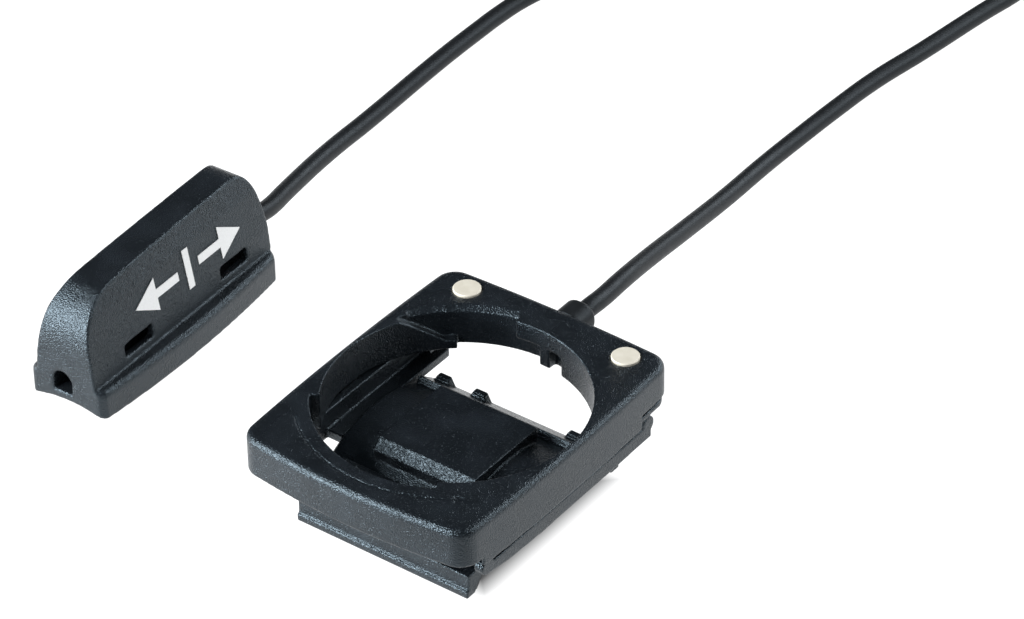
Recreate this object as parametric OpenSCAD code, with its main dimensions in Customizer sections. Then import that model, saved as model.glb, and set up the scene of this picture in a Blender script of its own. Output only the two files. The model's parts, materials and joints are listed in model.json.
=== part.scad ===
// Wired mount kit of a cycling computer: a handlebar bracket with a bayonet
// cradle and two contacts, a wheel-speed sensor for the fork, and the cable
// that joins them. Millimetres. The origin is the centre of the cradle hole
// on the bracket's top face. +Z is up and +Y points the way the cable leaves.

/* [Bracket] */
// Width of the bracket at its corners
bracket_w = 36.0; // [35.6:0.2:40]
// How far the bracket's front corners are from the cradle's centre
front_l = 22.3; // [22:0.1:22.5]
// How far the bracket's rear corners are from the cradle's centre
rear_l = 22.5; // [22.4:0.1:22.7]
// Radius of the cradle hole that the display head turns in
cradle_r = 17.5; // [17:0.1:17.5]
// Radius of the head's path in front and at the entry slot
slot_r = 18.8; // [18.2:0.1:18.9]
// Height of the cradle ring
ring_h = 5.7; // [5.5:0.1:5.8]
// Height of the side skirts
skirt_h = 6.9; // [6.4:0.1:7.2]
// Radius of the bracket's corners in plan
corner_r = 3.0; // [2.6:0.2:3.6]

/* [Handlebar saddle] */
// Radius of the rubber face that sits on the handlebar
bar_r = 17.2; // [16.8:0.1:17.4]
// Thickness of the rubber pad
pad_t = 0.8; // [0.6:0.1:1]
// Thickness of the hard saddle
saddle_t = 1.2; // [1:0.1:1.4]
// Width of the saddle along the handlebar
saddle_w = 27.4; // [25:0.2:28]
// Drop from the bracket's top face to the surface it stands on
stand_h = 16; // [15.8:0.1:16.1]

/* [Contacts] */
// Distance between the two contact pins
pin_spacing = 25.5; // [24:0.1:26]
// How far behind the cradle's centre the pins are
pin_y = 19.2; // [18.9:0.1:19.5]
// Radius of a contact pin's face
pin_r = 1.9; // [1.6:0.1:2]
// Height of a contact pin above the top face
pin_proud = 0.25; // [0.1:0.05:0.4]

/* [Sensor] */
// Length of the sensor's base flange
sensor_l = 38.6; // [38:0.2:42]
// Width of the base flange at its ends
flange_end_w = 12.6; // [11.8:0.2:13]
// Width of the base flange at its middle
flange_mid_w = 14.6; // [14:0.2:16]
// Height of the base flange
flange_h = 4.4; // [4:0.1:4.6]
// Height of the whole sensor
sensor_h = 17.8; // [17:0.1:19]
// Width of the housing where it meets the base
body_w = 10.0; // [9.6:0.2:10.4]
// Width of the housing's top
body_top_w = 4.8; // [4.4:0.1:5.2]
// Radius of the hollow that sits on the fork blade
fork_r = 20; // [16:1:40]

/* [Cable] */
// Diameter of the cable
cable_d = 2.7; // [2.4:0.1:2.9]
// Middle diameter of the coil's turns
coil_d = 29; // [28:0.5:30]

/* [Hidden] */

abs_black = [0.07, 0.075, 0.085];
pad_black = [0.05, 0.05, 0.055];
cable_black = [0.06, 0.06, 0.065];
nickel = [0.78, 0.76, 0.70];
brass = [0.80, 0.66, 0.35];
steel = [0.70, 0.71, 0.73];
print_white = [0.95, 0.95, 0.95];

e = 0.01;
big = 100;
floor_z = -stand_h;
round_fn = 96;
corner_steps = 8;

// bracket outline
side_bulge = 0.45;
front_bulge = 1.0;
rear_bulge = 0.35;
collar_r = 19.6;
rear_h = 4.8;
skirt_in = 17.6;
edge_r = 0.9;
seam = 0.9;
front_lift_y = -18.5;
rear_step_y = 15.3;
ramp_a0 = 127;
ramp_a1 = 152;
ramp_slope = 35;
ramp_end_z = -4.3;
catch_z = -2.75;

// saddle
saddle_out = bar_r + pad_t + saddle_t;
saddle_z = floor_z - sqrt(pow(saddle_out, 2) - pow(16.3, 2));
block_top = -5.85;
end_cut = 0.5;
block_w = 15.5;
block_front = -6.38;
block_rear = 6.8;
facet_l = 1.35;
facet_h = 1.35;
apron_y = -16.1;
apron_top = -12.2;
tooth_y = 11.5;
tooth_x = [-10.9, -5, 10.2];
tooth_z = -11.2;
tooth_h = 2.45;

// side rails and hooks
rail_in = 16.3;
rail_out = 17.7;
ledge_z = -5.8;
rail_z0 = -10.1;
rail_y0 = -17.2;
rail_y1 = 18;
foot_in = 13.8;
foot_y0 = -6.6;
foot_top = -8.5;
hooks = [[-17.2, -8, 1.2], [17.4, -7.7, 1.2]];
bar_y0 = -18.3;
bar_y1 = -17.6;
tongue_z0 = -9.4;
tongue_t = 1.1;

// contact stack, measured down from the top face
pin_gap = 0.1;
lip_z = -1.2;
flange_z = -1.8;
stem_z = -3;
plate_z = -4.5;
plate_t = 0.3;
spring_r = 1.55;
spring_wire = 0.3;
spring_turns = 4;
pocket_r = 2.6;
seal_r = 2.5;
seal_z0 = -0.95;
seal_z1 = -0.45;
cover_t = 1.5;
cover_plate_t = 0.8;
cover_rim = 3;
cover_hole_r = 19.7;
chamber_y = 20.6;

// strain relief on the bracket's rear edge
relief_x = 0.8;
relief_z = -2.4;
relief_w = 4.7;
relief_h = 4.4;
relief_y0 = 22.6;
relief_y1 = 26.6;

// sensor place: its own frame has its origin on the floor, under its middle
sensor_x = -54.2;
sensor_y = 3.5;
sensor_turn = 2;
front_w = 9.8;
side_low = [4.65, 8];
side_high = [3.5, 14.2];
wall_t = 1.2;
resin_z = 7.8;
window_l = 5.8;
window_z = 5.6;
window_h = 1.9;
window_y = [-8.8, 12.0];
sensor_exit_z = 6.3;
sensor_tail = 20.7;

// cable
cable_r = cable_d / 2;
tie_t = 0.5;
coil_x = -35;
coil_y = 147;
coil_lanes = 4;
row_h = cable_d * sqrt(3) / 2;
coil_z0 = floor_z + tie_t;
coil_h = cable_d + row_h;
coil_in = coil_d / 2 - coil_lanes * cable_r;
coil_out = coil_d / 2 + coil_lanes * cable_r;

// route of the cable from the bracket to the coil
bracket_route = [
    [0.8, 26.7, -2.4], [0.8, 27.6, -2.4], [0.6, 31, -2.8], [-0.1, 36, -3.5], [-1.7, 44, -5.5],
    [-4.15, 57, -9], [-6.5, 70.5, -12.3], [-8.05, 83, -14.15], [-8.25, 92, -14.62],
    [-7.95, 100.7, -14.62], [-7.35, 110, -14.62], [-5.85, 120.5, -14.62], [-4.2, 134, -14.62],
    [-2.9, 143, -14.62], [-2.9, 150, -14.62], [-6, 157.2, -14.5], [-12, 162.6, -14.3],
    [-20, 165.1, -14.15], [-28, 165.6, -14.15], [-35, 165.55, -14.15]];
// route of the cable from the coil to the sensor
sensor_route = [
    [-52.2, 147, -11.8], [-52.4, 140, -12.1], [-53.3, 132, -13.3], [-55.1, 124, -14.4],
    [-57.6, 114, -14.62], [-60.2, 105, -14.62], [-61.8, 98, -14.62], [-62.24, 91.57, -14.62],
    [-62.23, 87.85, -14.62], [-62.13, 80.37, -14.62], [-61.8, 72.7, -14.62],
    [-61.27, 64.86, -14.53], [-60.61, 57, -14.2], [-60.26, 53.09, -13.91],
    [-59.72, 48.97, -13.5], [-58.94, 44.6, -12.95], [-57.92, 39.96, -12.29],
    [-56.78, 35.21, -11.57], [-55.54, 30.4, -10.77], [-55.15, 28.1, -10.27], [-55, 26.1, -9.82],
    [-54.96, 25.2, -9.7], [-54.93, 24.3, -9.7]];

// ---- helpers ----

// points along one bulged side, from -half to +half
function bow(half, out) = [for (t = [-1:0.125:1]) [t * half, out * (1 - t * t)]];

// the corner that starts at angle a, round the centre [x, y]
function corner(x, y, r, a) =
    [for (i = [1:corner_steps - 1])
        [x + r * cos(a + 90 * i / corner_steps), y + r * sin(a + 90 * i / corner_steps)]];

// rounded rectangle with bulged sides, drawn in by inset
function outline_points(inset) =
    let (hw = bracket_w / 2 - corner_r, r = corner_r - inset,
         yf = -front_l + corner_r, yr = rear_l - corner_r, mid = (yf + yr) / 2, hl = (yr - yf) / 2)
        concat(
            [for (p = bow(hw, front_bulge)) [p[0], yf - r - p[1]]],
            corner(hw, yf, r, -90),
            [for (p = bow(hl, side_bulge)) [hw + r + p[1], mid + p[0]]],
            corner(hw, yr, r, 0),
            [for (p = bow(hw, rear_bulge)) [-p[0], yr + r + p[1]]],
            corner(-hw, yr, r, 90),
            [for (p = bow(hl, side_bulge)) [-hw - r - p[1], mid - p[0]]],
            corner(-hw, yf, r, 180));

module bracket_outline(inset = 0) {
    polygon(outline_points(inset));
}

// a block from its lowest to its highest corner
module block(lo, hi) {
    translate(lo) cube(hi - lo);
}

// a pie slice between two angles, wide enough for any radius used here
module wedge(a0, a1, z0, z1, r = 30) {
    steps = ceil((a1 - a0) / 30);
    translate([0, 0, z0])
        linear_extrude(z1 - z0)
            polygon(concat([[0, 0]],
                [for (i = [0:steps])
                    r * [cos(a0 + (a1 - a0) * i / steps), sin(a0 + (a1 - a0) * i / steps)]]));
}

// a sector of a round hole
module hole_sector(r, a0, a1, z0, z1) {
    intersection() {
        translate([0, 0, z0]) cylinder(r = r, h = z1 - z0, $fn = round_fn);
        wedge(a0, a1, z0, z1);
    }
}

function unit(v) = v / norm(v);

// a smooth curve through points: Catmull-Rom with n steps to a stretch
function smooth(p, n) = concat(
    [for (i = [0:len(p) - 2], k = [0:n - 1])
        let (a = p[max(i - 1, 0)], b = p[i], c = p[i + 1], d = p[min(i + 2, len(p) - 1)], t = k / n)
            0.5 * (2 * b + (c - a) * t + (2 * a - 5 * b + 4 * c - d) * t * t
                + (3 * b - a - 3 * c + d) * t * t * t)],
    [p[len(p) - 1]]);

// a round tube swept along a path, with flat ends
module sweep(path, r, sides = 8) {
    n = len(path);
    dirs = [for (i = [0:n - 1]) unit(path[min(i + 1, n - 1)] - path[max(i - 1, 0)])];
    rings = [for (i = [0:n - 1])
        let (d = dirs[i],
             ref = abs(d[2]) > 0.9 ? [1, 0, 0] : [0, 0, 1],
             s = unit(cross(d, ref)),
             u = cross(s, d))
            for (k = [0:sides - 1])
                path[i] + r * (cos(360 * k / sides) * s + sin(360 * k / sides) * u)];
    sides_faces = [for (i = [0:n - 2], k = [0:sides - 1])
        let (k2 = (k + 1) % sides)
            [i * sides + k, i * sides + k2, (i + 1) * sides + k2, (i + 1) * sides + k]];
    start = [[for (k = [sides - 1:-1:0]) k]];
    end = [[for (k = [0:sides - 1]) (n - 1) * sides + k]];
    polyhedron(points = rings, faces = concat(start, sides_faces, end), convexity = 6);
}

// ---- bracket ----

// the outer top edge is rounded
module shell_body() {
    hull() {
        translate([0, 0, -skirt_h]) linear_extrude(skirt_h - edge_r) bracket_outline(0);
        for (a = [18:18:90])
            translate([0, 0, -edge_r]) linear_extrude(edge_r * sin(a))
                bracket_outline(edge_r * (1 - cos(a)));
    }
}

// the sloping floor of the entry slot, which the head's lug slides down
module entry_ramp() {
    intersection() {
        hole_sector(slot_r, ramp_a0 - 1, ramp_a1, ramp_end_z, 1);
        rotate([0, 0, ramp_a1]) rotate([ramp_slope, 0, 0])
            translate([10, -20, 0]) cube([20, 20, 12]);
    }
}

module bracket_shell() {
    color(abs_black)
        difference() {
            shell_body();
            // the underside: the base frame and the cover fill it
            block([-skirt_in, front_lift_y, -skirt_h - 1], [skirt_in, rear_step_y, -ring_h]);
            block([-big, -big, -skirt_h - 1], [big, front_lift_y, -ring_h]);
            difference() {
                block([-big, rear_step_y, -skirt_h - 1], [big, big, -rear_h]);
                translate([0, 0, -ring_h]) cylinder(r = collar_r, h = ring_h, $fn = round_fn);
            }
            // the cradle hole and the ways of the head's lugs
            translate([0, 0, -10]) cylinder(r = cradle_r, h = 12, $fn = round_fn);
            hole_sector(slot_r, 214, 299, -10, 1);
            hole_sector(slot_r, 101, ramp_a0, -10, 1);
            entry_ramp();
            // the catch under the lip, with a nub left in it that stops the lug
            hole_sector(slot_r, 77, 84, -10, catch_z);
            hole_sector(slot_r, 89.5, 101.5, -10, catch_z);
            // chamfer that leads the lug in
            intersection() {
                translate([0, 0, -0.5]) cylinder(r1 = slot_r, r2 = slot_r + 2, h = 1, $fn = round_fn);
                wedge(102, 147, -2, 1);
            }
            // contact bores, pockets and the channel for the wires
            for (s = [-1, 1]) {
                translate([s * pin_spacing / 2, pin_y, lip_z - 1])
                    cylinder(r = pin_r + pin_gap, h = 4, $fn = 48);
                translate([s * pin_spacing / 2, pin_y, -rear_h - 1])
                    cylinder(r = pocket_r, h = rear_h + 1 + lip_z, $fn = 48);
                translate([s * pin_spacing / 2, pin_y, seal_z0])
                    cylinder(r = seal_r, h = seal_z1 - seal_z0, $fn = 48);
            }
            block([-pin_spacing / 2, chamber_y, -rear_h - 1],
                [pin_spacing / 2, chamber_y + 1.6, -2.2]);
            block([relief_x - 1.9, chamber_y + 1.5, -3.9], [relief_x + 1.9, relief_y0 + e, -2.2]);
            relief_shape();
            turn_mark();
        }
}

// generic turn-to-lock mark, engraved: an arc with an arrow head
module turn_mark() {
    translate([0, 0, -0.18]) linear_extrude(1) {
        difference() {
            circle(r = 21, $fn = round_fn);
            circle(r = 20.6, $fn = round_fn);
            translate([-big / 2, -15]) square([big, big]);
            rotate(-54) square([30, 30]);
            rotate(-126) translate([-30, 0]) square([30, 30]);
            rotate(-126) mirror([1, 0]) square([30, 30]);
        }
        rotate(-54) translate([20.8, 0]) polygon([[-0.9, 0], [0.9, 0], [0, 1.6]]);
    }
}

// lower moulding: two side rails with hooks for the fixing rings, and two cross bars
module base_frame() {
    color(abs_black)
        union() {
            for (s = [-1, 1])
                mirror([s < 0 ? 1 : 0, 0, 0]) {
                    // rail, lower in its middle, with a foot along its inner side
                    translate([rail_in, 0, 0]) rotate([90, 0, 90])
                        linear_extrude(rail_out - rail_in)
                            polygon([[rail_y0, -skirt_h - seam], [rail_y0, rail_z0 + 0.9],
                                [-13, rail_z0 + 0.3], [-6, rail_z0], [rail_y1, rail_z0 + 0.2],
                                [rail_y1, -skirt_h - seam]]);
                    block([foot_in, foot_y0, rail_z0 + 0.3], [rail_in + e, rail_y1 - 1.5, foot_top]);
                    // the rail's upper part fits inside the skirt, above a narrow seam
                    block([rail_in, rail_y0, -skirt_h - seam - 0.2], [skirt_in - 0.7, rear_step_y, ledge_z]);
                    block([rail_in, rail_y0, -skirt_h + 0.2], [skirt_in - 0.05, rear_step_y, ledge_z]);
                    block([rail_in, 14, -skirt_h - seam - 0.2],
                        [rail_out - 0.2, rail_y1, -rear_h - cover_t - 0.05]);
                    // hooks for the rubber rings, at both ends
                    for (h = hooks)
                        translate([rail_in, h[0], h[1]]) rotate([0, 90, 0])
                            cylinder(r = h[2], h = rail_out - rail_in, $fn = 32);
                    block([14, bar_y0, -7.2], [rail_in + e, rail_y0 + 4, -ring_h]);
                    block([14, 12.5, -7.2], [rail_in + e, rear_step_y, -ring_h]);
                }
            block([-14 - e, bar_y0, tongue_z0], [14 + e, bar_y1, -ring_h]);
        }
}

// a bar along the handlebar with the given section
module saddle_bar(w, section) {
    translate([-w / 2, 0, 0]) rotate([90, 0, 90]) linear_extrude(w) polygon(section);
}

// arch that sits on the handlebar, with the raised block in the cradle
module handlebar_saddle() {
    color(abs_black)
        union() {
            difference() {
                union() {
                    translate([-saddle_w / 2, 0, saddle_z]) rotate([0, 90, 0])
                        rotate_extrude($fn = round_fn)
                            polygon([[0, 0], [saddle_out - end_cut, 0], [saddle_out, end_cut],
                                [saddle_out, saddle_w - end_cut], [saddle_out - end_cut, saddle_w],
                                [0, saddle_w]]);
                    // raised block with a sloping front face
                    saddle_bar(block_w, [[block_front - facet_l, saddle_z], [block_rear, saddle_z],
                        [block_rear, block_top], [block_front, block_top],
                        [block_front - facet_l, block_top - facet_h]]);
                    // upright apron along the front edge
                    saddle_bar(saddle_w, [[apron_y, floor_z], [-10, floor_z], [-10, apron_top],
                        [-13.2, apron_top], [apron_y, apron_top - 0.2]]);
                    // ridge that carries the rear teeth
                    saddle_bar(saddle_w - 1, [[8.6, -13], [12.6, -13], [12.6, -10.75], [9, -8.05],
                        [8.6, -8.6]]);
                }
                translate([-big / 2, 0, saddle_z]) rotate([0, 90, 0])
                    cylinder(r = bar_r + pad_t, h = big, $fn = round_fn);
                block([-big, -big, -big], [big, big, floor_z + 0.15]);
            }
            for (s = [-1, 1])
                translate([-saddle_w / 2, s * 16.05, floor_z + 0.15])
                    translate([0, -0.4, 0]) cube([saddle_w, 0.8, 1.1]);
            // tongue that locks into the base frame's front cross bar
            block([-11, bar_y1 - 0.4, tongue_z0 + e], [11, -10, tongue_z0 + tongue_t]);
            // grip teeth along both edges
            for (x = tooth_x, s = [-1, 1])
                translate([x, s * tooth_y, tooth_z]) rotate([90, 0, 0])
                    linear_extrude(1, center = true)
                        polygon([[-1.6, 0], [1.6, 0], [1.6, tooth_h - 1.4], [0.9, tooth_h],
                            [-0.9, tooth_h], [-1.6, tooth_h - 1.4]]);
        }
}

module saddle_pad() {
    color(pad_black)
        difference() {
            translate([-saddle_w / 2 + 0.4, 0, saddle_z]) rotate([0, 90, 0])
                cylinder(r = bar_r + pad_t, h = saddle_w - 0.8, $fn = round_fn);
            translate([-big / 2, 0, saddle_z]) rotate([0, 90, 0])
                cylinder(r = bar_r, h = big, $fn = round_fn);
            block([-big, -big, -big], [big, big, floor_z]);
        }
}

// plate that closes the contact chamber from below
module contact_cover() {
    color(abs_black)
        difference() {
            union() {
                translate([0, 0, -rear_h - cover_t]) linear_extrude(cover_t - 0.7) bracket_outline(0.3);
                translate([0, 0, -rear_h - cover_t]) linear_extrude(cover_t) bracket_outline(1);
            }
            block([-skirt_in + cover_rim, -big, -10],
                [skirt_in - cover_rim, rear_l - 0.8, -rear_h - cover_plate_t]);
            block([-big, -big, -10], [big, rear_step_y + 0.1, 0]);
            translate([0, 0, -10]) cylinder(r = cover_hole_r, h = 12, $fn = round_fn);
        }
}

module relief_shape() {
    hull()
        for (sx = [-1, 1], sz = [-1, 1])
            translate([relief_x + sx * (relief_w / 2 - 2), 0, relief_z + sz * (relief_h / 2 - 2)])
                rotate([-90, 0, 0]) {
                    translate([0, 0, relief_y0]) cylinder(r = 2, h = 3.2, $fn = 24);
                    translate([0, 0, relief_y1 - 0.8]) cylinder(r1 = 2, r2 = 1.3, h = 0.8, $fn = 24);
                }
}

module bracket_strain_relief() {
    color(cable_black) relief_shape();
}

// ---- contacts ----

module contact_pin() {
    color(nickel)
        rotate_extrude($fn = 48)
            polygon([[0, stem_z], [1, stem_z], [1, flange_z], [2.3, flange_z], [2.3, lip_z],
                [pin_r, lip_z], [pin_r, pin_proud - 0.1], [pin_r - 0.1, pin_proud], [0, pin_proud]]);
}

module contact_seal() {
    color(pad_black)
        rotate_extrude($fn = 48)
            polygon([[pin_r + 0.03, seal_z0], [seal_r, seal_z0],
                [seal_r, seal_z1], [pin_r + 0.03, seal_z1]]);
}

module contact_spring() {
    z0 = plate_z + plate_t + spring_wire / 2;
    z1 = flange_z - spring_wire / 2;
    steps = spring_turns * 14;
    color(steel)
        sweep([for (i = [0:steps])
            [spring_r * cos(360 * i / 14), spring_r * sin(360 * i / 14), z0 + (z1 - z0) * i / steps]],
            spring_wire / 2, 6);
}

module contact_plate(s) {
    color(brass)
        union() {
            translate([0, 0, plate_z]) cylinder(r = 2.4, h = plate_t, $fn = 48);
            block([min(0, -s * 5), chamber_y - pin_y + 0.2, plate_z],
                [max(0, -s * 5), chamber_y - pin_y + 1.4, plate_z + plate_t]);
        }
}

module at_pin(s) {
    translate([s * pin_spacing / 2, pin_y, 0]) children();
}

module bracket_wire(s) {
    y = chamber_y + 0.8;
    color(s > 0 ? [0.55, 0.1, 0.08] : [0.1, 0.1, 0.12])
        sweep(smooth([[relief_x + s * 0.7, relief_y0 - 0.15, relief_z - 0.6],
            [relief_x + s * 1.2, relief_y0 - 0.6, relief_z - 0.8], [relief_x + s * 3, y, -3.6],
            [s * 6.5, y, -3.6], [s * 8.4, y, -3.7]], 3), 0.45);
}

// ---- sensor ----

module in_sensor() {
    translate([sensor_x, sensor_y, floor_z]) rotate([0, 0, sensor_turn]) children();
}

// side view of the housing: upright front, rounded shoulders, sloping top
housing_side =
    let (f = -18.8, r = 20.1, top = sensor_h, low = flange_h - 3)
        smooth([[f, low], [f, flange_h], [f + 0.05, 8], [f + 0.3, 10.9], [f + 1, 13.1], [f + 2.2, 14.8],
            [f + 4, 16.1], [f + 6.4, top - 0.85], [f + 12, top - 0.5], [f + 22, top - 0.2],
            [f + 31, top - 0.03], [r - 4.6, top - 0.05], [r - 3.1, top - 0.5], [r - 1.9, top - 1.6],
            [r - 1.1, top - 3.2], [r - 0.5, 12.4], [r - 0.1, 9.8], [r, 7], [r, flange_h], [r, low]], 3);

module housing_solid(inset, z0) {
    hb = body_w / 2 - inset;
    ht = body_top_w / 2 - inset * 0.7;
    low = side_low[0] - inset;
    high = side_high[0] - inset;
    intersection() {
        rotate([90, 0, 90]) linear_extrude(40, center = true) offset(delta = -inset) polygon(housing_side);
        rotate([90, 0, 0]) linear_extrude(60, center = true)
            polygon([[-hb, z0], [hb, z0], [hb, flange_h], [low, side_low[1]], [high, side_high[1]],
                [ht, sensor_h - inset], [-ht, sensor_h - inset], [-high, side_high[1]],
                [-low, side_low[1]], [-hb, flange_h]]);
    }
}

module sensor_housing() {
    color(abs_black)
        in_sensor() difference() {
            union() {
                housing_solid(0, flange_h);
                // the front wall runs down in front of the base
                block([-front_w / 2, -18.8, 0], [front_w / 2, -17.6, flange_h + 0.5]);
            }
            difference() {
                translate([0, 0, -e]) housing_solid(wall_t, flange_h);
                block([-10, 17, 0], [10, 30, 30]);
            }
            for (y = window_y)
                block([-20, y - window_l / 2, window_z], [20, y + window_l / 2, window_z + window_h]);
            fork_hollow();
            front_arch();
            // seat of the strain relief
            translate([0, 16, sensor_exit_z]) rotate([-90, 0, 0]) cylinder(r = 1.8, h = 6, $fn = 32);
        }
}

// the hollow that sits on the fork blade
module fork_hollow() {
    translate([0, -30, -fork_r + 0.9]) rotate([-90, 0, 0])
        cylinder(r = fork_r, h = 60, $fn = round_fn);
}

// the drain arch in the front end
module front_arch() {
    translate([-0.6, -14, 0]) rotate([90, 0, 0]) linear_extrude(7)
        union() {
            translate([0, 3.9]) circle(r = 1.5, $fn = 32);
            translate([-1.5, 2.2]) square([3, 1.7]);
        }
}

function flange_points(grow) =
    let (a = flange_end_w / 2 + grow, b = (flange_mid_w - flange_end_w) / 2, l = sensor_l / 2)
        concat([for (p = bow(l - 0.8, b)) [a + p[1], p[0]]], [[a - 0.8, l], [-a + 0.8, l]],
            [for (p = bow(l - 0.8, b)) [-a - p[1], -p[0]]], [[-a + 0.8, -l], [a - 0.8, -l]]);

module sensor_base() {
    color(abs_black)
        in_sensor() difference() {
            translate([0, 0.5, 0]) hull() {
                linear_extrude(flange_h - 0.9) polygon(flange_points(0));
                linear_extrude(flange_h - 0.4) polygon(flange_points(-0.15));
                linear_extrude(flange_h) polygon(flange_points(-0.7));
            }
            fork_hollow();
            block([-front_w / 2 - 0.05, -30, -1], [front_w / 2 + 0.05, -17.55, 10]);
            front_arch();
        }
}

module sensor_board() {
    color([0.05, 0.25, 0.12])
        in_sensor() block([-2.6, -13, 9.1], [2.6, 13, 9.9]);
}

module reed_glass() {
    color([0.75, 0.85, 0.8, 0.5])
        in_sensor() translate([0, -7, 11.1]) rotate([-90, 0, 0]) cylinder(r = 1.1, h = 14, $fn = 32);
}

module reed_leads() {
    color(steel)
        in_sensor()
            for (s = [-1, 1])
                translate([0, s * 7, 0]) {
                    translate([0, s * 1.25, 11.1]) rotate([90, 0, 0])
                        cylinder(r = 0.25, h = 2.5, center = true, $fn = 16);
                    translate([0, s * 2.25, 9.9]) cylinder(r = 0.25, h = 1.3, $fn = 16);
                }
}

module sensor_resin() {
    color([0.12, 0.12, 0.13])
        in_sensor() block([-3.2, -17, resin_z], [3.2, 16.5, 9.05]);
}

module sensor_wire(s) {
    color(s > 0 ? [0.55, 0.1, 0.08] : [0.1, 0.1, 0.12])
        in_sensor() sweep(smooth([[s * 0.6, 16.95, sensor_exit_z], [s * 0.7, 16.5, sensor_exit_z + 0.2],
            [s * 0.7, 16.1, resin_z - 0.1]], 3), 0.35);
}

module sensor_strain_relief() {
    color(cable_black)
        in_sensor() translate([0, 0, sensor_exit_z]) rotate([-90, 0, 0])
            rotate_extrude($fn = 48)
                polygon([[0, 17], [1.75, 17], [1.75, 20], [1.4, sensor_tail], [0, sensor_tail]]);
}

// generic printed mark: an arrow to each side of a line, where the wheel magnet passes
module magnet_mark() {
    lean = atan((side_low[0] - side_high[0]) / (side_high[1] - side_low[1]));
    color(print_white)
        in_sensor() translate([side_low[0], 3, side_low[1]]) rotate([0, -lean, 0])
            translate([e, 0, 3.1]) rotate([90, 0, 90]) linear_extrude(0.1) {
                square([1.2, 6], center = true);
                for (s = [-1, 1])
                    scale([s, 1]) {
                        translate([2.2, -0.65]) square([5.4, 1.3]);
                        polygon([[6.9, -2.5], [11.4, 0], [6.9, 2.5]]);
                    }
            }
}

// ---- cable ----

module bracket_cable() {
    color(cable_black) sweep(smooth(bracket_route, 2), cable_r);
}

module sensor_cable() {
    color(cable_black) sweep(smooth(sensor_route, 2), cable_r);
}

module coil_section(grow = 0) {
    offset(r = 1 + grow, $fn = 24)
        translate([coil_in + 1, 1]) square([coil_out - coil_in - 2, coil_h - 2]);
}

module cable_coil() {
    color(cable_black)
        translate([coil_x, coil_y, coil_z0]) rotate_extrude($fn = 72)
            polygon([[coil_in, 1], [coil_in + 1, 0], [coil_out - 1, 0], [coil_out, 1],
                [coil_out, coil_h - 1.4], [coil_out - 1.4, coil_h], [coil_in + 1.4, coil_h],
                [coil_in, coil_h - 1.4]]);
}

// strap round the coil's turns
module cable_tie() {
    color(pad_black)
        translate([coil_x, coil_y, coil_z0]) rotate([0, 0, 35]) rotate([90, 0, 0])
            linear_extrude(2.5, center = true)
                difference() {
                    coil_section(tie_t);
                    coil_section(0);
                }
}

bracket_shell();
base_frame();
handlebar_saddle();
saddle_pad();
contact_cover();
bracket_strain_relief();
at_pin(-1) contact_pin();  // contact_pin_left
at_pin(1) contact_pin();  // contact_pin_right
at_pin(-1) contact_seal();  // contact_seal_left
at_pin(1) contact_seal();  // contact_seal_right
at_pin(-1) contact_spring();  // contact_spring_left
at_pin(1) contact_spring();  // contact_spring_right
at_pin(-1) contact_plate(-1);  // contact_plate_left
at_pin(1) contact_plate(1);  // contact_plate_right
bracket_wire(-1);  // bracket_wire_left
bracket_wire(1);  // bracket_wire_right
sensor_housing();
sensor_base();
sensor_board();
reed_glass();
reed_leads();
sensor_resin();
sensor_wire(-1);  // sensor_wire_a
sensor_wire(1);  // sensor_wire_b
sensor_strain_relief();
magnet_mark();
bracket_cable();
cable_coil();
sensor_cable();
cable_tie();
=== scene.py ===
"""Looks of a cycling computer's wired mount kit: handlebar bracket, wheel sensor and cable."""
import math

import bmesh
import bpy
from mathutils import Matrix, Vector
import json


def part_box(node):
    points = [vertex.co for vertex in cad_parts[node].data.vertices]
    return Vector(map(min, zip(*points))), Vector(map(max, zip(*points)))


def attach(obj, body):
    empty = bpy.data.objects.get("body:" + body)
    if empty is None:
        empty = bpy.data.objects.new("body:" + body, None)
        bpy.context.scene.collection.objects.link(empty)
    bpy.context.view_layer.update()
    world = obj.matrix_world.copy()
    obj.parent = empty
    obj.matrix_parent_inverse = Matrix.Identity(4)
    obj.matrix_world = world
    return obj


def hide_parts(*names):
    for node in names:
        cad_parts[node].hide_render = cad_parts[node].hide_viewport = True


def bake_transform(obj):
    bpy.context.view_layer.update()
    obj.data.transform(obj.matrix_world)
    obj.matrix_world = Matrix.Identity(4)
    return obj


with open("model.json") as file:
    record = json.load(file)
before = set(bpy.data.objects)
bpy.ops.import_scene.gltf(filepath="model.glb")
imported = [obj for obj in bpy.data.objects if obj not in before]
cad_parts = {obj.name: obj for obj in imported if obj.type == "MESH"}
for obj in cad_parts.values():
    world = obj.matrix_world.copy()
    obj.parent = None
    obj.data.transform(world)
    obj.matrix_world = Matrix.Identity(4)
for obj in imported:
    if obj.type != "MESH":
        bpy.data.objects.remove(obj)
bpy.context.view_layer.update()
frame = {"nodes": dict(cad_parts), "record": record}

MM = 0.001
ROOT = "root"

# ---- places taken from the frame ----

COIL_LOW, COIL_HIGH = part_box("cable_coil")
FLOOR_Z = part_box("saddle_pad")[0][2]

# ---- sizes in millimetres, counts and shares ----

CABLE_D = 2.7
# the coil: middle radius, turns side by side, whole turns, and points to a turn
COIL_MEAN_R = 14.5
COIL_LANES = 4
COIL_TURNS = 6
COIL_STEPS = 24
# part of a turn after which it shifts to the next lane, and the part of a turn that takes
LANE_SHIFT_FROM = 0.8
LANE_SHIFT_LENGTH = 0.17
# how far a shifting turn rises over the one it crosses
CROSSING_RISE = 0.35
# voxel of the skin round a moulded part, and the share of its faces that are kept
SKIN_MM = 0.14
SKIN_KEPT = 0.35
# spark-eroded grain of the mouldings: width, depth and mean roughness
GRAIN_MM = 0.17
GRAIN_DEPTH_MM = 0.1
GRAIN_ROUGHNESS = 0.28

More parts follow.
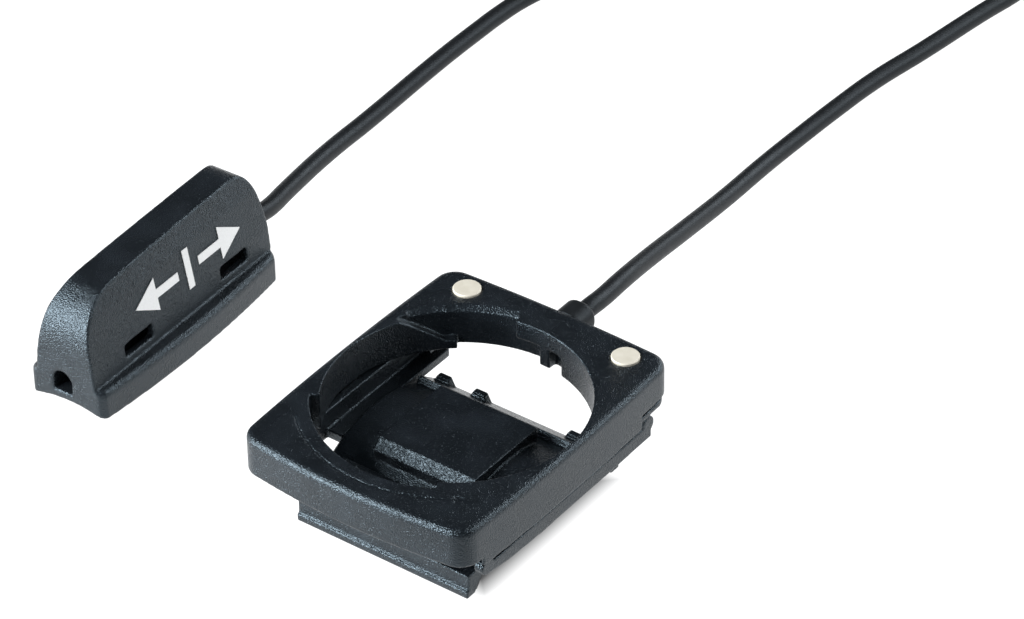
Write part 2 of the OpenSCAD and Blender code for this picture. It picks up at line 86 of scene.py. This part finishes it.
# route of the cable from the bracket to the coil, as in the CAD model
BRACKET_ROUTE = [
    (0.8, 26.7, -2.4), (0.8, 27.6, -2.4), (0.6, 31, -2.8), (-0.1, 36, -3.5),
    (-1.7, 44, -5.5), (-4.15, 57, -9), (-6.5, 70.5, -12.3), (-8.05, 83, -14.15),
    (-8.25, 92, -14.62), (-7.95, 100.7, -14.62), (-7.35, 110, -14.62),
    (-5.85, 120.5, -14.62), (-4.2, 134, -14.62), (-2.9, 143, -14.62), (-2.9, 150, -14.62),
    (-6, 157.2, -14.5), (-12, 162.6, -14.3), (-20, 165.1, -14.15), (-28, 165.6, -14.15),
    (-35, 165.55, -14.15)]
# route of the cable from the coil to the sensor, as in the CAD model
SENSOR_ROUTE = [
    (-52.2, 147, -11.8), (-52.4, 140, -12.1), (-53.3, 132, -13.3), (-55.1, 124, -14.4),
    (-57.6, 114, -14.62), (-60.2, 105, -14.62), (-61.8, 98, -14.62),
    (-62.24, 91.57, -14.62), (-62.23, 87.85, -14.62), (-62.13, 80.37, -14.62),
    (-61.8, 72.7, -14.62), (-61.27, 64.86, -14.53), (-60.61, 57, -14.2),
    (-60.26, 53.09, -13.91), (-59.72, 48.97, -13.5), (-58.94, 44.6, -12.95),
    (-57.92, 39.96, -12.29), (-56.78, 35.21, -11.57), (-55.54, 30.4, -10.77),
    (-55.15, 28.1, -10.27), (-55, 26.1, -9.82), (-54.96, 25.2, -9.7), (-54.93, 24.3, -9.7)]


def mm(x, y, z):
    return Vector((x * MM, y * MM, z * MM))


# ---- camera and light ----

# angles in degrees, and the distance, the slide across the view and the lens in millimetres
CAMERA_YAW = 37.04
CAMERA_PITCH = 36.58
CAMERA_ROLL = -1.0
CAMERA_DISTANCE = 601.5
CAMERA_SLIDE = (-7.05, -11.04)
CAMERA_LENS = 166.07
CAMERA_SENSOR = 36
# nearest and farthest thing the camera sees, in metres
CAMERA_CLIP = (0.01, 20)

# where the lights aim, and each light's name, place, panel size, watts and colour
LIGHT_TARGET = (-0.015, 0.01, -0.005)
LIGHTS = [
    ("key", (-0.28, -0.365, 0.31), (0.36, 0.28), 6, (0.95, 0.98, 1)),
    ("low", (-0.36, -0.45, 0.035), (0.4, 0.09), 5, (0.9, 0.96, 1)),
    ("side", (0.45, 0.30, 0.30), (0.4, 0.25), 2.2, (0.96, 0.98, 1)),
    ("rim", (0.15, 0.75, 0.32), (0.5, 0.25), 3, (0.9, 0.95, 1))]
AMBIENT_COLOUR = (0.8, 0.9, 1, 1)
AMBIENT_STRENGTH = 0.08

FLOOR_HALF_SIZE = 6.0
FLOOR_DROP = 0.00002
# metres towards the camera up to which the floor is white, and from which it is dark
FLOOR_WHITE_TO = 0.036
FLOOR_DARK_FROM = 0.056
FLOOR_DARK = 0.05
# half size of the shadow under the bracket, the width of its soft edge, and its light
SHADOW_HALF = (0.0125, 0.012)
SHADOW_EDGE = 0.003
SHADOW_DARK = 0.04


def make_camera():
    yaw, pitch, roll = (math.radians(a) for a in (CAMERA_YAW, CAMERA_PITCH, CAMERA_ROLL))
    level = math.cos(pitch)
    back = Vector((math.sin(yaw) * level, -math.cos(yaw) * level, math.sin(pitch)))
    right = Vector((math.cos(yaw), math.sin(yaw), 0))
    up = back.cross(right)
    rolled_right = math.cos(roll) * right + math.sin(roll) * up
    rolled_up = math.cos(roll) * up - math.sin(roll) * right
    slide = CAMERA_SLIDE[0] * rolled_right + CAMERA_SLIDE[1] * rolled_up
    place = CAMERA_DISTANCE * back - slide
    camera = bpy.data.objects.new("camera", bpy.data.cameras.new("camera"))
    bpy.context.scene.collection.objects.link(camera)
    axes = Matrix((rolled_right, rolled_up, back)).transposed()
    camera.matrix_world = Matrix.Translation(place * MM) @ axes.to_4x4()
    camera.data.sensor_width = CAMERA_SENSOR
    camera.data.lens = CAMERA_LENS
    camera.data.clip_start, camera.data.clip_end = CAMERA_CLIP
    bpy.context.scene.camera = camera


def area_light(name, place, size, power, colour):
    data = bpy.data.lights.new(name, "AREA")
    data.shape = "RECTANGLE"
    data.size, data.size_y = size
    data.energy = power
    data.color = colour
    light = bpy.data.objects.new(name, data)
    bpy.context.scene.collection.objects.link(light)
    light.location = place
    facing = Vector(LIGHT_TARGET) - Vector(place)
    light.rotation_euler = facing.to_track_quat("-Z", "Y").to_euler()


def make_studio():
    scene = bpy.context.scene
    scene.view_settings.view_transform = "Standard"
    world = bpy.data.worlds.new("studio")
    world.use_nodes = True
    background = world.node_tree.nodes["Background"]
    background.inputs["Color"].default_value = AMBIENT_COLOUR
    background.inputs["Strength"].default_value = AMBIENT_STRENGTH
    scene.world = world
    for light in LIGHTS:
        area_light(*light)


def make_floor():
    """Glowing white paper, dark at its near end for the bracket's front corner to reflect;
    painted shadow under it.
    """
    size = FLOOR_HALF_SIZE
    mesh = bpy.data.meshes.new("floor")
    z = FLOOR_Z - FLOOR_DROP
    corners = [(-size, -size, z), (size, -size, z), (size, size, z), (-size, size, z)]
    mesh.from_pydata(corners, [], [(0, 1, 2, 3)])
    floor = bpy.data.objects.new("floor", mesh)
    bpy.context.scene.collection.objects.link(floor)
    m = Nodes("floor_paper")
    yaw = math.radians(CAMERA_YAW)
    towards = m.add("ShaderNodeVectorMath", operation="DOT_PRODUCT")
    towards.inputs[1].default_value = (math.sin(yaw), -math.cos(yaw), 0)
    m.link(m.coords, towards.inputs[0])
    lit = m.spread(towards.outputs["Value"], 1.0, FLOOR_DARK, FLOOR_WHITE_TO, FLOOR_DARK_FROM)
    # how far a point is outside the shadow under the bracket
    place = m.add("ShaderNodeSeparateXYZ")
    m.link(m.coords, place.inputs[0])
    past_x, past_y = (
        m.math("SUBTRACT", m.math("ABSOLUTE", place.outputs[axis]), half)
        for axis, half in zip("XY", SHADOW_HALF))
    outside = m.math("MAXIMUM", past_x, past_y)
    # painted shadow: the floor's glow is dimmed to SHADOW_DARK under the bracket
    shadow = m.spread(outside, SHADOW_DARK, 1.0, 0, SHADOW_EDGE)
    lit = m.math("MULTIPLY", lit, shadow)
    m.set(Base_Color=(0.2, 0.2, 0.2, 1), Roughness=1.0, Specular_IOR_Level=0.0,
          Emission_Color=(1, 1, 1, 1))
    m.link(lit, m.shader.inputs["Emission Strength"])
    mesh.materials.append(m.material)


# ---- materials ----


class Nodes:
    """Short ways to build one material's node tree."""

    def __init__(self, name):
        self.material = bpy.data.materials.new(name)
        self.material.use_nodes = True
        self.tree = self.material.node_tree
        self.shader = self.tree.nodes["Principled BSDF"]
        self.coords = self.tree.nodes.new("ShaderNodeTexCoord").outputs["Object"]

    def add(self, kind, **settings):
        node = self.tree.nodes.new(kind)
        for key, value in settings.items():
            setattr(node, key, value)
        return node

    def link(self, out, into):
        self.tree.links.new(out, into)

    def set(self, **values):
        for key, value in values.items():
            self.shader.inputs[key.replace("_", " ")].default_value = value

    def noise(self, grain_mm, detail=2.0):
        node = self.add("ShaderNodeTexNoise")
        node.inputs["Scale"].default_value = 1 / (grain_mm * MM)
        node.inputs["Detail"].default_value = detail
        self.link(self.coords, node.inputs["Vector"])
        return node.outputs["Fac"]

    def math(self, operation, *values):
        node = self.add("ShaderNodeMath", operation=operation)
        for socket, value in zip(node.inputs, values):
            if isinstance(value, (int, float)):
                socket.default_value = value
            else:
                self.link(value, socket)
        return node.outputs["Value"]

    def spread(self, value, low, high, from_low=0.0, from_high=1.0):
        node = self.add("ShaderNodeMapRange")
        node.inputs["From Min"].default_value = from_low
        node.inputs["From Max"].default_value = from_high
        node.inputs["To Min"].default_value = low
        node.inputs["To Max"].default_value = high
        self.link(value, node.inputs["Value"])
        return node.outputs["Result"]

    def ramp(self, value, stops):
        node = self.add("ShaderNodeValToRGB")
        while len(node.color_ramp.elements) < len(stops):
            node.color_ramp.elements.new(0.5)
        for element, (place, colour) in zip(node.color_ramp.elements, stops):
            element.position = place
            element.color = (*colour, 1)
        self.link(value, node.inputs["Fac"])
        return node.outputs["Color"]

    def bump(self, height, strength, depth_mm):
        node = self.add("ShaderNodeBump")
        node.inputs["Strength"].default_value = strength
        node.inputs["Distance"].default_value = depth_mm * MM
        self.link(height, node.inputs["Height"])
        return node.outputs["Normal"]

    def colour(self, out):
        self.link(out, self.shader.inputs["Base Color"])

    def roughness(self, out):
        self.link(out, self.shader.inputs["Roughness"])

    def normal(self, out):
        self.link(out, self.shader.inputs["Normal"])


def moulded_plastic(name, tone):
    """Black ABS from a spark-eroded mould: a fine pebble grain with small glints."""
    m = Nodes(name)
    m.set(Specular_IOR_Level=0.5, Specular_Tint=(0.7, 0.88, 1, 1))
    grain = m.noise(GRAIN_MM, 0.0)
    broad = m.noise(5.0, 2.0)
    dark = tuple(c * 0.7 for c in tone)
    light = tuple(c * 1.4 for c in tone)
    m.colour(m.ramp(broad, [(0.3, dark), (0.5, tone), (0.7, light)]))
    m.roughness(m.spread(broad, GRAIN_ROUGHNESS - 0.03, GRAIN_ROUGHNESS + 0.03, 0.3, 0.7))
    m.normal(m.bump(grain, 1.0, GRAIN_DEPTH_MM))
    return m.material


def jacket_pvc():
    """Matt cable jacket, a little uneven in tone and gloss."""
    m = Nodes("jacket_pvc")
    m.set(Specular_IOR_Level=0.24, Specular_Tint=(0.8, 0.92, 1, 1))
    soft = m.noise(1.2, 3.0)
    fine = m.noise(0.3, 2.0)
    m.colour(m.ramp(soft, [(0.3, (0.007, 0.0075, 0.008)), (0.7, (0.009, 0.0098, 0.011))]))
    m.roughness(m.spread(soft, 0.42, 0.5, 0.3, 0.7))
    m.normal(m.bump(fine, 0.1, 0.006))
    return m.material


def rubber():
    m = Nodes("pad_rubber")
    m.set(Specular_IOR_Level=0.35)
    fine = m.noise(0.2, 3.0)
    m.colour(m.ramp(fine, [(0.3, (0.012, 0.012, 0.012)), (0.7, (0.022, 0.022, 0.023))]))
    m.roughness(m.spread(fine, 0.62, 0.78, 0.3, 0.7))
    m.normal(m.bump(fine, 0.4, 0.02))
    return m.material


def metal(name, dark, light, rough, grain_mm=0.15, metallic=1.0):
    m = Nodes(name)
    m.set(Metallic=metallic)
    fine = m.noise(grain_mm, 3.0)
    broad = m.noise(1.5, 2.0)
    m.colour(m.ramp(broad, [(0.3, dark), (0.7, light)]))
    m.roughness(m.spread(fine, rough - 0.06, rough + 0.08, 0.3, 0.7))
    m.normal(m.bump(fine, 0.3, 0.01))
    return m.material


def plain_plastic(name, dark, light, rough, grain_mm=0.4):
    m = Nodes(name)
    fine = m.noise(grain_mm, 2.0)
    m.colour(m.ramp(fine, [(0.3, dark), (0.7, light)]))
    m.roughness(m.spread(fine, rough - 0.05, rough + 0.05, 0.3, 0.7))
    m.normal(m.bump(fine, 0.2, 0.01))
    return m.material


def reed_glass():
    m = Nodes("reed_glass")
    m.set(Base_Color=(0.75, 0.9, 0.82, 1), Roughness=0.03, Transmission_Weight=1.0, IOR=1.5)
    return m.material


def make_materials():
    return {
        "shell_plastic": moulded_plastic("shell_plastic", (0.006, 0.0075, 0.0095)),
        "sensor_plastic": moulded_plastic("sensor_plastic", (0.007, 0.0085, 0.0105)),
        "pad_rubber": rubber(),
        "nickel": metal("nickel", (0.62, 0.57, 0.47), (0.7, 0.65, 0.55), 0.55, 0.3, 0.25),
        "spring_steel": metal("spring_steel", (0.5, 0.5, 0.51), (0.62, 0.62, 0.63), 0.25),
        "brass": metal("brass", (0.62, 0.47, 0.2), (0.72, 0.56, 0.26), 0.3),
        "cable_pvc": jacket_pvc(),
        "wire_black": plain_plastic("wire_black", (0.012,) * 3, (0.02,) * 3, 0.4),
        "wire_red": plain_plastic("wire_red", (0.3, 0.015, 0.01), (0.4, 0.03, 0.02), 0.4),
        "circuit_board": plain_plastic(
            "circuit_board", (0.01, 0.08, 0.03), (0.015, 0.12, 0.05), 0.35),
        "reed_glass": reed_glass(),
        "resin": plain_plastic("resin", (0.012,) * 3, (0.02,) * 3, 0.2),
        "print_white": plain_plastic(
            "print_white", (0.8, 0.8, 0.79), (0.88, 0.88, 0.87), 0.55, 0.15),
        "tie_plastic": plain_plastic("tie_plastic", (0.012,) * 3, (0.022,) * 3, 0.45),
    }


SLOT_OF = {s["node"]: s["material_slot"] for s in frame["record"]["subparts"]}


def finish_cad_nodes(materials):
    for name, node in frame["nodes"].items():
        material = materials[SLOT_OF[name]]
        if node.data.materials:
            for i in range(len(node.data.materials)):
                node.data.materials[i] = material
        else:
            node.data.materials.append(material)


# ---- building pieces ----


def piece(name, mesh, material, nodes, body=ROOT):
    """A piece shown in place of CAD nodes. One given no body rides on none."""
    obj = bpy.data.objects.new(name, mesh)
    bpy.context.scene.collection.objects.link(obj)
    obj.data.materials.clear()
    obj.data.materials.append(material)
    if body:
        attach(obj, body)
    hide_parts(*nodes)
    return obj


def joined_mesh(name, nodes):
    """One mesh with the shapes of one or more CAD nodes."""
    shape = bmesh.new()
    for node in nodes:
        shape.from_mesh(frame["nodes"][node].data)
    mesh = bpy.data.meshes.new(name)
    shape.to_mesh(mesh)
    shape.free()
    return mesh


def bake_modifiers(obj):
    graph = bpy.context.evaluated_depsgraph_get()
    mesh = bpy.data.meshes.new_from_object(obj.evaluated_get(graph))
    obj.modifiers.clear()
    obj.data = mesh


def moulded(nodes, material, soften):
    """The CAD parts again, with their edges rounded the way a mould leaves them."""
    name = nodes[0] + "_moulded"
    obj = piece(name, joined_mesh(name, nodes), material, nodes)
    skin = obj.modifiers.new("skin", "REMESH")
    skin.mode = "VOXEL"
    skin.voxel_size = SKIN_MM * MM
    smooth = obj.modifiers.new("soften", "SMOOTH")
    smooth.factor = 0.5
    smooth.iterations = soften
    thin = obj.modifiers.new("slim", "DECIMATE")
    thin.ratio = SKIN_KEPT
    bake_modifiers(obj)
    obj.data.shade_smooth()


# the moulded parts, and how many smoothing steps each gets
MOULDINGS = [
    (["bracket_shell"], 8),
    (["base_frame"], 5),
    (["handlebar_saddle"], 5),
    (["contact_cover"], 5),
    (["saddle_pad"], 5),
    (["bracket_strain_relief"], 8),
    (["sensor_housing", "sensor_base"], 24),
    (["sensor_strain_relief"], 5)]


def make_mouldings(materials):
    for nodes, soften in MOULDINGS:
        moulded(nodes, materials[SLOT_OF[nodes[0]]], soften)


def make_springs(materials):
    """The contact springs, which shorten when their pins are pressed; here plain copies of
    their CAD nodes.
    """
    for side in ("left", "right"):
        node = "contact_spring_" + side
        name = node + "_coiled"
        mesh = joined_mesh(name, [node])
        spring = piece(name, mesh, materials[SLOT_OF[node]], [node], body=None)
        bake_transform(spring)


# ---- cable ----


def coil_lane(turn):
    """Radius and height above the lowest row of one turn of the coil, in millimetres."""
    outer = COIL_MEAN_R + (COIL_LANES - 1) * CABLE_D / 2
    if turn < COIL_LANES:
        return outer - turn * CABLE_D, 0.0
    upper = turn - COIL_LANES
    inner = COIL_MEAN_R - (COIL_LANES - 2) * CABLE_D / 2
    return inner + upper * CABLE_D, CABLE_D * math.sqrt(3) / 2


def coil_points():
    """Six turns and a quarter: four side by side, going in, and the rest on top, going out."""
    centre = (COIL_LOW + COIL_HIGH) / 2 / MM
    low = COIL_LOW[2] / MM + CABLE_D / 2
    points = []
    for i in range(COIL_TURNS * COIL_STEPS + COIL_STEPS // 4 + 1):
        turn, part = divmod(i, COIL_STEPS)
        r0, z0 = coil_lane(turn)
        r1, z1 = coil_lane(turn + 1)
        t = min(max((part / COIL_STEPS - LANE_SHIFT_FROM) / LANE_SHIFT_LENGTH, 0), 1)
        t = t * t * (3 - 2 * t)
        if turn == COIL_TURNS:
            t = 0
        over = CROSSING_RISE * math.sin(math.pi * t) if turn >= COIL_LANES - 1 else 0
        r, z = r0 + (r1 - r0) * t, z0 + (z1 - z0) * t + over
        a = math.radians(90 + 360 * i / COIL_STEPS)
        points.append((centre[0] + r * math.cos(a), centre[1] + r * math.sin(a), low + z))
    return points


def make_cable(materials):
    points = BRACKET_ROUTE[:-1] + coil_points() + SENSOR_ROUTE[1:]
    data = bpy.data.curves.new("cable", "CURVE")
    data.dimensions = "3D"
    data.resolution_u = 5
    data.bevel_depth = CABLE_D / 2 * MM
    data.bevel_resolution = 5
    data.use_fill_caps = True
    spline = data.splines.new("BEZIER")
    spline.bezier_points.add(len(points) - 1)
    for point, place in zip(spline.bezier_points, points):
        point.co = mm(*place)
        point.handle_left_type = point.handle_right_type = "AUTO"
    data.materials.append(materials["cable_pvc"])
    cable = bpy.data.objects.new("cable", data)
    bpy.context.scene.collection.objects.link(cable)
    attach(cable, ROOT)
    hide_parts("bracket_cable", "cable_coil", "sensor_cable")


make_camera()
make_studio()
make_floor()
MATERIALS = make_materials()
finish_cad_nodes(MATERIALS)
make_cable(MATERIALS)
make_mouldings(MATERIALS)
make_springs(MATERIALS)

import json
